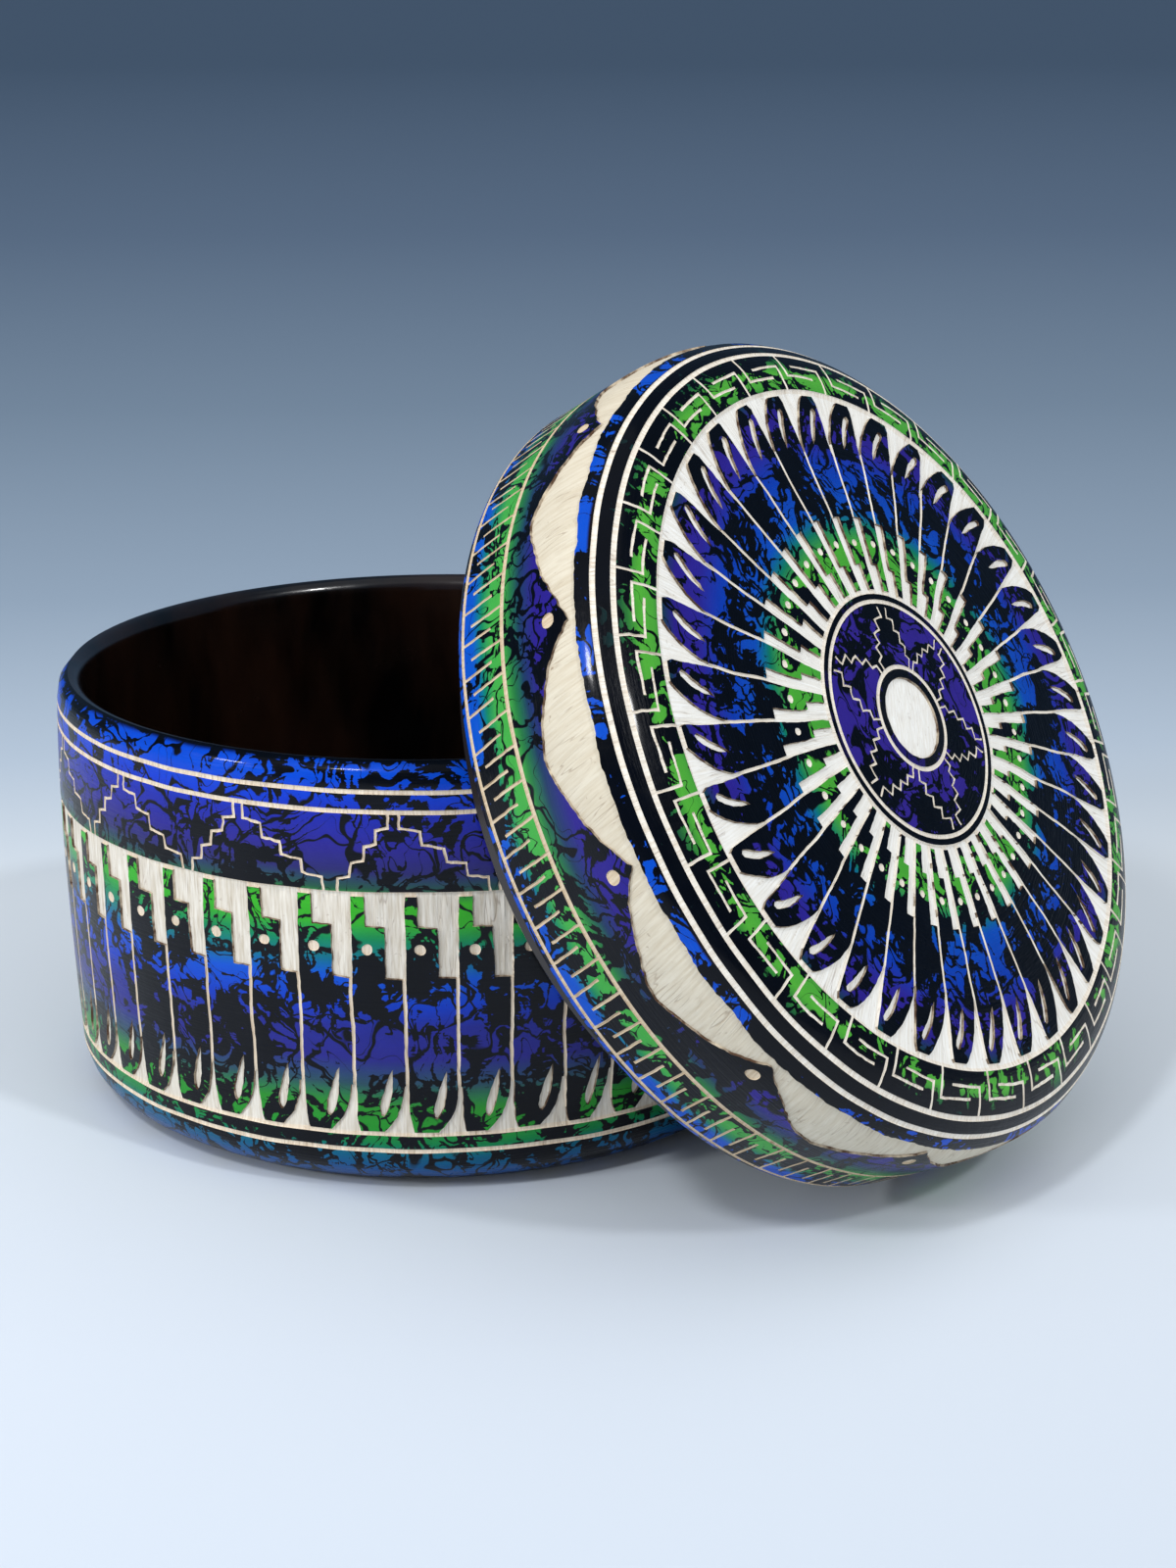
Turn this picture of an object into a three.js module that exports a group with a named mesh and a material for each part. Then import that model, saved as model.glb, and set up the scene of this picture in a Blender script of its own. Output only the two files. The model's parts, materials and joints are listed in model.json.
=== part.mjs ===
// A round lidded pottery box: a wheel-shaped body and a domed lid with a locating flange.
// Millimetres, +Z up. The origin is the centre of the body's flat underside, on the table.
// The lid is off and leans on the body's rim with its own edge on the table.
import * as THREE from 'three';

// Body
const bodyRadius = 70;          // outside of the wall, just under the rim
const bodyHeight = 78.8;        // table to the crest of the rim
const wallThickness = 4.8;
const wallDraw = 1.3;           // how much narrower the wall is where the foot starts
const wallSwell = 1.3;          // how far the wall's curve is pulled outwards above its middle
const footHeight = 8.75;        // table to where the wall starts
const footRounding = 11.3;      // width of the curve from the wall in to the flat underside
const rimDrop = 5;              // height of the rim's outer rounding
const rimWidth = 2.2;           // width of the rim's outer rounding
const lipDrop = 3;              // height of the rim's inner rounding
const floorThickness = 6;
const floorRounding = 7;        // radius between the inner wall and the inner floor

// Lid, measured from its seat, the flat ring that lies on the rim when the box is shut
const lidHeight = 36.6;         // seat to the crown
const crownRise = 2.3;          // crown above the edge of the dome
const domeInset = 13.2;         // edge of the dome in from the lid's widest radius
const lidOverhang = 4.4;        // widest radius beyond the body's radius
const widestHeight = 20.3;      // seat to the lid's widest place
const skirtDraw = 0.6;          // how much narrower the lid is above its edge rounding
const edgeHeight = 3.5;
const edgeWidth = 2.5;
const lidThickness = 5;         // clay above the hollow
const skirtThickness = 8;       // clay beside the hollow
const hollowRounding = 9;       // radius between the lid's inner wall and its ceiling
const shelfThickness = 4;       // clay above the seat, where the hollow widens
const flangeDepth = 8.5;
const flangeThickness = 3.3;
const flangeChamfer = 0.7;

// Fits
const flangeClearance = 1;      // flange to the body's inner wall, all round
const leanClearance = 0.3;      // lid to the body where the lid leans

// How the lid leans
const leanAngle = THREE.MathUtils.degToRad(61.05);     // the lid's axis away from upright
const leanTurn = THREE.MathUtils.degToRad(-38.8);      // side that the lid's top faces, from +X
const leanSideways = 8;         // the lid's axis passes this far beside the body's axis

// Faceting
const facetsRound = 72;
const facetsPerCurve = 4;

// Sizes that follow
const innerRadius = bodyRadius - wallThickness;
const crestRadius = bodyRadius - rimWidth;
const footRadius = bodyRadius - wallDraw;
const restRadius = footRadius - footRounding;
const shoulderHeight = bodyHeight - rimDrop;
const widestRadius = bodyRadius + lidOverhang;
const domeRadius = widestRadius - domeInset;
const domeHeight = lidHeight - crownRise;
const skirtRadius = widestRadius - skirtDraw;
const flangeRadius = innerRadius - flangeClearance;
const flangeBore = flangeRadius - flangeThickness;
const hollowRadius = widestRadius - skirtThickness;
const ceilingHeight = domeHeight - lidThickness;

// Section of the body from the middle of its underside round to the middle of its inner floor.
function bodySection() {
  const section = new THREE.Path();
  section.moveTo(0, 0);
  section.lineTo(restRadius, 0);
  section.absellipse(restRadius, footHeight, footRounding, footHeight, -Math.PI / 2, 0, false, 0);
  const wallHeight = shoulderHeight - footHeight;
  section.quadraticCurveTo(bodyRadius + wallSwell, footHeight + wallHeight * 2 / 3, bodyRadius, shoulderHeight);
  section.absellipse(crestRadius, shoulderHeight, rimWidth, rimDrop, 0, Math.PI / 2, false, 0);
  const lipWidth = crestRadius - innerRadius;
  section.absellipse(crestRadius, bodyHeight - lipDrop, lipWidth, lipDrop, Math.PI / 2, Math.PI, false, 0);
  section.lineTo(innerRadius, floorThickness + floorRounding);
  section.absellipse(
    innerRadius - floorRounding, floorThickness + floorRounding, floorRounding, floorRounding,
    0, -Math.PI / 2, true, 0
  );
  section.lineTo(0, floorThickness);
  return section.getPoints(facetsPerCurve);
}

// Section of the lid from the middle of its ceiling, round the flange and the edge, to its crown.
function lidSection() {
  const section = new THREE.Path();
  section.moveTo(0, ceilingHeight + crownRise / 2);
  section.lineTo(hollowRadius - hollowRounding, ceilingHeight);
  section.absellipse(
    hollowRadius - hollowRounding, ceilingHeight - hollowRounding, hollowRounding, hollowRounding,
    Math.PI / 2, 0, true, 0
  );
  section.lineTo(hollowRadius, shelfThickness + hollowRounding);
  section.quadraticCurveTo(hollowRadius, shelfThickness, flangeBore, shelfThickness);
  section.lineTo(flangeBore, -flangeDepth + flangeChamfer);
  section.lineTo(flangeBore + flangeChamfer, -flangeDepth);
  section.lineTo(flangeRadius - flangeChamfer, -flangeDepth);
  section.lineTo(flangeRadius, -flangeDepth + flangeChamfer);
  section.lineTo(flangeRadius, 0);
  section.lineTo(skirtRadius - edgeWidth, 0);
  section.absellipse(skirtRadius - edgeWidth, edgeHeight, edgeWidth, edgeHeight, -Math.PI / 2, 0, false, 0);
  const skirtMiddle = (edgeHeight + widestHeight) / 2;
  section.quadraticCurveTo(widestRadius - skirtDraw / 2, skirtMiddle, widestRadius, widestHeight);
  const shoulder = domeHeight - widestHeight;
  section.bezierCurveTo(
    widestRadius, widestHeight + shoulder * 0.6,
    widestRadius - domeInset * 0.3, domeHeight - shoulder * 0.07,
    domeRadius, domeHeight
  );
  section.quadraticCurveTo(domeRadius / 4, lidHeight, 0, lidHeight);
  return section.getPoints(facetsPerCurve);
}

// A section turned about +Z. The lathe turns about +Y, so the result is stood up.
function turned(points) {
  const geometry = new THREE.LatheGeometry(points, facetsRound);
  geometry.rotateX(Math.PI / 2);
  return geometry;
}

// Signed distance of a point beside a section, negative inside the clay.
function distanceToSection(section, radius, height) {
  let nearest = Infinity;
  let inside = false;
  for (let i = 0; i < section.length; i++) {
    const a = section[i];
    const b = section[(i + 1) % section.length];
    const runX = b.x - a.x;
    const runY = b.y - a.y;
    const along = ((radius - a.x) * runX + (height - a.y) * runY) / (runX * runX + runY * runY);
    const t = THREE.MathUtils.clamp(along, 0, 1);
    if (a.x > 0 || b.x > 0) {
      nearest = Math.min(nearest, Math.hypot(radius - a.x - t * runX, height - a.y - t * runY));
    }
    if ((a.y > height) !== (b.y > height) && radius < a.x + (height - a.y) * runX / runY) {
      inside = !inside;
    }
  }
  return inside ? -nearest : nearest;
}

// Points of the lid's lower half, from its widest place down, set out round its axis.
function lidSamples(section) {
  const samples = [];
  const spacing = 1;
  const directions = 120;
  for (let i = 1; i < section.length; i++) {
    const steps = Math.ceil(section[i].distanceTo(section[i - 1]) / spacing);
    for (let k = 0; k < steps; k++) {
      const point = section[i - 1].clone().lerp(section[i], k / steps);
      if (point.y > widestHeight || point.x < flangeBore - spacing) continue;
      for (let j = 0; j < directions; j++) {
        const angle = 2 * Math.PI * j / directions;
        samples.push(new THREE.Vector3(point.x * Math.cos(angle), point.x * Math.sin(angle), point.y));
      }
    }
  }
  return samples;
}

// The leaning lid's place: as low as the table lets it, and as near as the body lets it.
function leaningPlace(body, lid, tilt) {
  const samples = lidSamples(lid).map((point) => point.applyQuaternion(tilt));
  const lift = -Math.min(...samples.map((point) => point.z));
  const outwards = new THREE.Vector3(Math.cos(leanTurn), Math.sin(leanTurn), 0);
  const sideways = new THREE.Vector3(-Math.sin(leanTurn), Math.cos(leanTurn), 0);
  const placeAt = (distance) => new THREE.Vector3(0, 0, lift)
    .addScaledVector(outwards, distance)
    .addScaledVector(sideways, leanSideways);
  const gapAt = (distance) => {
    const place = placeAt(distance);
    let gap = Infinity;
    for (const sample of samples) {
      const radius = Math.hypot(sample.x + place.x, sample.y + place.y);
      if (radius - bodyRadius < 2 * lidOverhang) {
        gap = Math.min(gap, distanceToSection(body, radius, sample.z + place.z));
      }
    }
    return gap;
  };
  let near = 0;
  let far = 2 * (bodyRadius + widestRadius);
  for (let i = 0; i < 24; i++) {
    const middle = (near + far) / 2;
    if (gapAt(middle) < leanClearance) near = middle;
    else far = middle;
  }
  return placeAt(far);
}

const paintedClay = new THREE.MeshStandardMaterial({ color: 0x16264f, roughness: 0.35, metalness: 0 });
const etchedClay = new THREE.MeshStandardMaterial({ color: 0x1d3f6b, roughness: 0.35, metalness: 0 });

const bodyPoints = bodySection();
const lidPoints = lidSection();

const body = new THREE.Mesh(turned(bodyPoints), paintedClay);
body.name = 'box_body';

const lid = new THREE.Mesh(turned(lidPoints), etchedClay);
lid.name = 'lid';
lid.rotation.set(0, leanAngle, leanTurn, 'ZYX');
lid.position.copy(leaningPlace(bodyPoints, lidPoints, lid.quaternion));

const potteryBox = new THREE.Group();
potteryBox.add(body, lid);

export default potteryBox;
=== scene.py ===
# Etched pottery jewelry box: painted and carved clay over the CAD frame, with its floor, lamps
# and camera. Sections and patterns are in mm, scene objects in metres.
import json
import math
import bpy
import numpy as np
from mathutils import Matrix, Vector, geometry, kdtree, noise


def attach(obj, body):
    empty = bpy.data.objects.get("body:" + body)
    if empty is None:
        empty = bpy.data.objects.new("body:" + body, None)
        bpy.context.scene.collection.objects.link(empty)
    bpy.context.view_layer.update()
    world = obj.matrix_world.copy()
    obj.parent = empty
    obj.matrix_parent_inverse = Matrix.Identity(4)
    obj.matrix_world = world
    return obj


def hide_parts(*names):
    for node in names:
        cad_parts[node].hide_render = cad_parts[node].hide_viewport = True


noise.seed_set(5)  # noise_vector starts from the clock otherwise
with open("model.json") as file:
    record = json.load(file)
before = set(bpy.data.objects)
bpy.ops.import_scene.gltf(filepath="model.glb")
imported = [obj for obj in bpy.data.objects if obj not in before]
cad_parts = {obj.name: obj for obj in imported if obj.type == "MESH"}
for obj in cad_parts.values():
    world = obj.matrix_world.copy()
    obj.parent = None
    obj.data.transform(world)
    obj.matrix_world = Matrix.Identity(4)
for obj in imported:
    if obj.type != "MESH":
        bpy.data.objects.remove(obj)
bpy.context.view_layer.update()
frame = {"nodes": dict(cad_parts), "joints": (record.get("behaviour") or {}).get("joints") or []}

metresPerMm = 0.001
tiny = 1e-6


def addObject(name, data, facing=None):
    made = bpy.data.objects.new(name, data)
    bpy.context.scene.collection.objects.link(made)
    if facing is not None:
        made.rotation_mode = "QUATERNION"
        made.rotation_quaternion = facing.to_track_quat("-Z", "Y")
    return made


# Camera
cameraSettings = {
    "place": (0, -0.5003, 0.20955),  # metres
    "pan": 3.317,  # degrees to the right of +Y
    "tilt": 17.353,  # degrees below the horizon
    "lens": 63,  # mm
    "sensor": 36,  # mm, along the picture's long side
}


def makeCamera(settings):
    pan, tilt = math.radians(settings["pan"]), math.radians(settings["tilt"])
    forward = Vector((
        math.sin(pan) * math.cos(tilt), math.cos(pan) * math.cos(tilt), -math.sin(tilt)))
    data = bpy.data.cameras.new("camera")
    data.lens = settings["lens"]
    data.sensor_width = settings["sensor"]
    camera = addObject("camera", data, forward)
    camera.location = settings["place"]
    bpy.context.scene.camera = camera


makeCamera(cameraSettings)
print("camera made")


# Curves of a section, as (radius, height) points
def ellipsePart(centre, radii, start, end, steps=48):
    turns = np.radians(np.linspace(start, end, steps + 1))
    return [(centre[0] + radii[0] * math.cos(a), centre[1] + radii[1] * math.sin(a)) for a in turns]


def curve(*controls, steps=48):
    points = []
    for t in np.linspace(0, 1, steps + 1):
        level = [Vector(c) for c in controls]
        while len(level) > 1:
            level = [a.lerp(b, t) for a, b in zip(level, level[1:])]
        points.append(tuple(level[0]))
    return points


# The painted face of a piece as a sheet: its section by arc length, and a flat plan of it in
# which a turn about the axis stays a turn and small shapes keep their proportions
sheetSamples = 3000
poleRadius = 2.0  # the plan of a sheet from the axis is plainly polar as far as this
skinFade = 2  # the skin thins out over this length towards a sheet's open ends


def makeSheet(points, side, skin):
    section = np.array(points)
    lengths = np.hypot(*np.diff(section, axis=0).T)
    keep = np.concatenate([[True], lengths > tiny])
    section, lengths = section[keep], lengths[lengths > tiny]
    arc = np.concatenate([[0], np.cumsum(lengths)])
    along = np.linspace(0, arc[-1], sheetSamples)
    radius = np.interp(along, arc, section[:, 0])
    height = np.interp(along, arc, section[:, 1])
    slopeR, slopeZ = np.gradient(radius, along), np.gradient(height, along)
    size = np.hypot(slopeR, slopeZ)

    fromAxis = bool(radius[0] < 1)
    start = int(np.searchsorted(radius, poleRadius)) if fromAxis else 0
    meanRadius = (radius[1:] + radius[:-1]) / 2
    growth = np.zeros_like(along)
    growth[start + 1:] = np.cumsum(np.diff(along)[start:] / meanRadius[start:])
    plan = (along[start] if fromAxis else radius[0]) * np.exp(growth)
    plan[:start] = along[:start]
    toEnd = along[-1] - along
    if not fromAxis:
        toEnd = np.minimum(along, toEnd)
    return {
        "along": along, "radius": radius, "height": height, "plan": plan,
        "normalR": side * slopeZ / size, "normalZ": -side * slopeR / size,
        "skin": skin * np.clip(toEnd / skinFade, 0, 1),
        "side": side, "length": along[-1], "fromAxis": fromAxis,
    }


# The place along a sheet of a height on the body, or of a radius on the lid's dome
def level(sheet, value):
    return float(np.interp(value, *sheet["levels"]))


def lift(sheet, corners, pitch=1.0):
    return [(turn * pitch, level(sheet, value)) for turn, value in corners]


def radiusAt(sheet, along):
    return np.interp(along, sheet["along"], sheet["radius"])


def planScale(sheet, along):
    return np.interp(along, sheet["along"], sheet["plan"] / np.maximum(sheet["radius"], 0.5))


def planPoint(sheet, turn, along):
    reach = np.interp(along, sheet["along"], sheet["plan"])
    angle = np.radians(turn)
    return np.stack([reach * np.cos(angle), reach * np.sin(angle)], -1)


def fromPlan(sheet, points):
    reach = np.hypot(points[:, 0], points[:, 1])
    turn = np.degrees(np.arctan2(points[:, 1], points[:, 0]))
    return turn, np.interp(reach, sheet["plan"], sheet["along"])


# Patterns: shapes given as (turn in degrees, along in mm), cut into short edges
def shortEdges(sheet, corners, closed, step):
    corners = list(corners)
    path = []
    ends = corners[1:] + corners[:1] if closed else corners[1:]
    for (turnA, alongA), (turnB, alongB) in zip(corners, ends):
        turn, along = turnB - turnA, alongB - alongA
        radius = radiusAt(sheet, (alongA + alongB) / 2)
        parts = max(1, round(math.hypot(math.radians(turn) * radius, along) / step))
        path += [(turnA + turn * k / parts, alongA + along * k / parts) for k in range(parts)]
    return path if closed else path + corners[-1:]


def patch(sheet, corners, step=1.1):
    path = np.array(shortEdges(sheet, corners, True, step))
    return planPoint(sheet, path[:, 0], path[:, 1])


def stroke(sheet, corners, width, step=1.1):
    path = np.array(shortEdges(sheet, corners, False, step))
    points = planPoint(sheet, path[:, 0], path[:, 1])
    scale = planScale(sheet, path[:, 1])
    left, right = [], []
    for i, point in enumerate(points):
        before = point - points[i - 1] if i else points[1] - point
        after = points[i + 1] - point if i + 1 < len(points) else before
        before, after = before / np.hypot(*before), after / np.hypot(*after)
        mean = before + after
        mean /= max(np.hypot(*mean), tiny)
        half = width / 2 * scale[i]
        across = np.array([-mean[1], mean[0]]) * half / max(abs(np.dot(mean, before)), 0.5)
        left.append(point + across)
        right.append(point - across)
    return np.array(right + left[::-1])


def disc(sheet, turn, along, across, sides=14):
    angles = np.linspace(0, 2 * math.pi, sides, endpoint=False)
    turns = turn + np.degrees(across / 2 * np.cos(angles) / radiusAt(sheet, along))
    return planPoint(sheet, turns, along + across / 2 * np.sin(angles))


# A stepped line; slant leans its risers
def stepsBetween(startTurn, endTurn, startAlong, endAlong, risers, slant):
    rise = (endAlong - startAlong) / risers
    tread = (endTurn - startTurn) / (risers - 1)
    path = [(startTurn, startAlong)]
    for k in range(risers - 1):
        path.append((startTurn + tread * (k + slant), startAlong + rise * (k + 0.92)))
        path.append((startTurn + tread * (k + 1), startAlong + rise * (k + 1.08)))
    path.append((endTurn, endAlong))
    return path


# A node tree that lays copies of a flat motif round the axis
def layRoundTree():
    tree = bpy.data.node_groups.new("lay round the axis", "GeometryNodeTree")
    inputs = {
        "Motif": "Geometry", "Count": "Int", "First Turn": "Float", "Sway": "Float",
        "Creep": "Float", "Seed": "Int", "Clay": "Material",
    }
    for name, kind in inputs.items():
        tree.interface.new_socket(name, in_out="INPUT", socket_type="NodeSocket" + kind)
    tree.interface.new_socket("Pattern", in_out="OUTPUT", socket_type="NodeSocketGeometry")
    made = tree.nodes.new
    link = tree.links.new
    given, result = made("NodeGroupInput").outputs, made("NodeGroupOutput")

    def calc(operation, a, b):
        node = made("ShaderNodeMath")
        node.operation = operation
        for socket, value in zip(node.inputs, (a, b)):
            if isinstance(value, (int, float)):
                socket.default_value = value
            else:
                link(value, socket)
        return node.outputs[0]

    def between(limit, shift):  # a random value from -limit to limit
        node = made("FunctionNodeRandomValue")
        node.data_type = "FLOAT"
        link(calc("MULTIPLY", limit, -1), node.inputs[2])
        link(limit, node.inputs[3])
        link(calc("ADD", given["Seed"], shift), node.inputs["Seed"])
        return node.outputs[1]

    points, place, real, paint = (made(kind) for kind in (
        "GeometryNodePoints", "GeometryNodeInstanceOnPoints", "GeometryNodeRealizeInstances",
        "GeometryNodeSetMaterial"))
    link(given["Count"], points.inputs["Count"])
    turn = calc("MULTIPLY", made("GeometryNodeInputIndex").outputs[0], 360)
    turn = calc("ADD", calc("DIVIDE", turn, given["Count"]), given["First Turn"])
    turn = calc("ADD", turn, between(given["Sway"], 0))
    spin = made("ShaderNodeCombineXYZ")
    link(calc("RADIANS", turn, 0), spin.inputs["Z"])
    link(points.outputs[0], place.inputs["Points"])
    link(given["Motif"], place.inputs["Instance"])
    link(spin.outputs[0], place.inputs["Rotation"])
    link(calc("ADD", between(given["Creep"], 50), 1), place.inputs["Scale"])
    link(place.outputs[0], real.inputs[0])
    link(real.outputs[0], paint.inputs["Geometry"])
    link(given["Clay"], paint.inputs["Material"])
    link(paint.outputs[0], result.inputs[0])
    return tree


layTree = layRoundTree()


def layRound(motif, values):
    points, faces = [], []
    for shape in motif:
        faces.append(tuple(range(len(points), len(points) + len(shape))))
        points += [(x, y, 0) for x, y in shape]
    mesh = bpy.data.meshes.new("motif")
    mesh.from_pydata(points, [], faces)
    flat = addObject("motif", mesh)
    modifier = flat.modifiers.new("lay round", "NODES")
    modifier.node_group = layTree
    for item in layTree.interface.items_tree:
        if item.name in values:
            modifier[item.identifier] = values[item.name]
    evaluated = flat.evaluated_get(bpy.context.evaluated_depsgraph_get())
    laid = bpy.data.meshes.new_from_object(evaluated)
    flat.modifiers.remove(modifier)
    places = np.zeros(len(laid.vertices) * 3)
    laid.vertices.foreach_get("co", places)
    places = places.reshape(-1, 3)[:, :2]
    shapes = [places[list(face.vertices)] for face in laid.polygons]
    bpy.data.objects.remove(flat)
    bpy.data.meshes.remove(mesh)
    bpy.data.meshes.remove(laid)
    return shapes


# A cutter's hand: outlines waver a little, by the place on the clay
fineShake = 0.9  # noise cells for each mm
slowShake = 0.11


def waver(sheet, shape, fine, slow):
    turn, along = fromPlan(sheet, shape)
    out = []
    for t, s, r in zip(np.radians(turn), along, radiusAt(sheet, along)):
        spot = Vector((r * math.cos(t), r * math.sin(t), s))
        shake = noise.noise_vector(spot * fineShake) * fine
        shake += noise.noise_vector(spot * slowShake) * slow
        out.append((math.degrees(t + shake.x / max(r, 1)), s + shake.y))
    out = np.array(out)
    return planPoint(sheet, out[:, 0], out[:, 1])


# Uneven spacing: so many degrees further on, evenly round the piece from a first turn
def drifted(sheet, shape, drift):
    turn, along = fromPlan(sheet, shape)
    first, further = drift
    at = first + np.arange(len(further)) * 360 / len(further)
    return planPoint(sheet, turn + np.interp(turn, at, further, period=360), along)


# Copies of a motif round the axis, each cut by hand; fine and slow say how much the hand wavers
def layOut(sheet, motif, clay, count, fine, slow, firstTurn=0, sway=0.0, creep=0.0, seed=0,
           drift=None):
    shapes = layRound(motif, {
        "Count": count, "First Turn": firstTurn, "Sway": sway, "Creep": creep, "Seed": seed,
        "Clay": clay})
    if drift:
        shapes = [drifted(sheet, shape, drift) for shape in shapes]
    return [waver(sheet, shape, fine, slow) for shape in shapes]


ringCells = 72  # a ring is cut as this many cells, side by side


def layRing(sheet, middle, width, clay, slow):
    half, low, high = 180 / ringCells, middle - width / 2, middle + width / 2
    cell = patch(sheet, [(-half, low), (half, low), (half, high), (-half, high)], 1.4)
    return layOut(sheet, [cell], clay, ringCells, 0.0, slow)


# A feather's quill and dot are lines, the rest fields; its turns are in units of pitch degrees
def layFeathers(sheet, clay, settings, lines, fields, pitch=1.0, drift=None):
    quill = [(0, end) for end in settings["quillEnds"]]
    turn, value, width, sides = settings["dot"]
    thin = [stroke(sheet, lift(sheet, quill), settings["quill"]),
            disc(sheet, turn * pitch, level(sheet, value), width, sides)]
    slow, sway, creep = settings["featherSway"]
    for name, step, fine, seed in settings["featherParts"]:
        motif = [patch(sheet, lift(sheet, settings[name], pitch), step)] if step else thin
        target = fields if step else lines
        target += layOut(sheet, motif, clay, settings["feathers"], fine, slow,
                         settings["firstQuill"], sway, creep, seed, drift)


def insideShapes(points, shapes):
    inside = np.zeros(len(points), bool)
    for shape in shapes:
        low, high = shape.min(0), shape.max(0)
        near = np.nonzero(((points >= low) & (points <= high)).all(1) & ~inside)[0]
        if not len(near):
            continue
        x, y = points[near, 0], points[near, 1]
        crossings = np.zeros(len(near), int)
        for (ax, ay), (bx, by) in zip(shape, np.roll(shape, -1, 0)):
            crosses = (ay > y) != (by > y)
            if by != ay:
                crossings += crosses & (x < ax + (y - ay) * (bx - ax) / (by - ay))
        inside[near] = crossings % 2 == 1
    return inside


# Chatter of the cutting tool: ridges along the cut, higher and lower from one to the next
ridgeChange = 0.12  # noise cells for each mm along a ridge
ridgeLayer = 3.7  # the noise's third coordinate


def toolMarks(turn, along, settings):
    across = settings["ridgesPerDegree"]
    marks = [noise.noise(Vector((t * across, s * ridgeChange, ridgeLayer)))
             for t, s in zip(turn, along)]
    return np.array(marks) * settings["ridge"]


# Carving: the plan is cut into triangles along every outline, then laid on the clay at its depth
carving = {
    "facetsRound": 144,
    "depth": 0.42,  # of a field
    "lineDepth": 0.20,
    "lean": 0.09,  # foot of a cut's wall in from its top
    "grid": 0.004,  # points of the plan are snapped to this
    "rowStep": 3.0,  # between the plain rows, and between their points
    "plainClearance": 0.45,  # from an outline to a point of the plain rows
    "markClearance": 0.16,  # and to a point of the tool marks
    "leastRadius": 3,  # of a plain row
    "leastSpots": 12,  # in a plain row
    "unevenSize": 0.35,  # noise cells for each mm
    "unevenField": 0.07,  # mm deeper or shallower
    "unevenLine": 0.03,
}


# Plain rows over the whole sheet, as turns and alongs
def plainRows(sheet):
    count, step = carving["facetsRound"], carving["rowStep"]
    rows = []
    for i, along in enumerate(np.arange(step, sheet["length"] - 0.5, step)):
        radius = radiusAt(sheet, along)
        if radius >= carving["leastRadius"]:
            spots = int(min(count, max(carving["leastSpots"], 2 * math.pi * radius / step)))
            turns = (np.arange(spots) + i % 2 / 2) * 360 / spots
            rows.append([turns, np.full(spots, along)])
    return np.concatenate(rows, axis=1)


# The points of the tool marks inside the fields, likewise
def markRows(sheet, fields, zones):
    rows = []
    for low, high, columns, step in zones:
        turn, along = (a.ravel() for a in np.meshgrid(
            np.arange(columns) * 360 / columns, np.arange(low, high, step)))
        chosen = insideShapes(planPoint(sheet, turn, along), fields)
        rows.append([turn[chosen], along[chosen]])
    return np.concatenate(rows, axis=1)


def triangulate(outlines, inner):
    grid = carving["grid"]
    points = np.concatenate([*outlines, *inner])
    snapped, index = np.unique(np.round(points / grid).astype(int), axis=0, return_inverse=True)
    index = index.ravel()
    edges, first = [], 0
    for outline in outlines:
        ids = index[first:first + len(outline)]
        edges += [(int(a), int(b)) for a, b in zip(ids, np.roll(ids, -1)) if a != b]
        first += len(outline)
    corners = [Vector(p * grid) for p in snapped.astype(float)]
    made = geometry.delaunay_2d_cdt(corners, edges, [], 0, 1e-5, False)
    return np.array([tuple(v) for v in made[0]]), np.array([tuple(f) for f in made[2]])


def placeOnClay(sheet, turn, along):
    angle = np.radians(turn)
    radius, height, normalR, normalZ, skin = (
        np.interp(along, sheet["along"], sheet[name])
        for name in ("radius", "height", "normalR", "normalZ", "skin"))
    outward = np.stack([normalR * np.cos(angle), normalR * np.sin(angle), normalZ], 1)
    top = np.stack([radius * np.cos(angle), radius * np.sin(angle), height], 1)
    return top - outward * skin[:, None], outward


# For each point, the way to the middle of the cut faces round it
def towardsCut(top, cutFaces):
    arms = top[cutFaces].mean(1)[:, None] - top[cutFaces]
    sizes = np.linalg.norm(arms, axis=2, keepdims=True)
    way = np.zeros_like(top)
    np.add.at(way, cutFaces, arms / np.maximum(sizes, tiny) * np.minimum(sizes, 0.5))
    return way / np.maximum(np.linalg.norm(way, axis=1), tiny)[:, None]


def edgesOf(face):
    return zip(face, face[1:] + face[:1])


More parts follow.
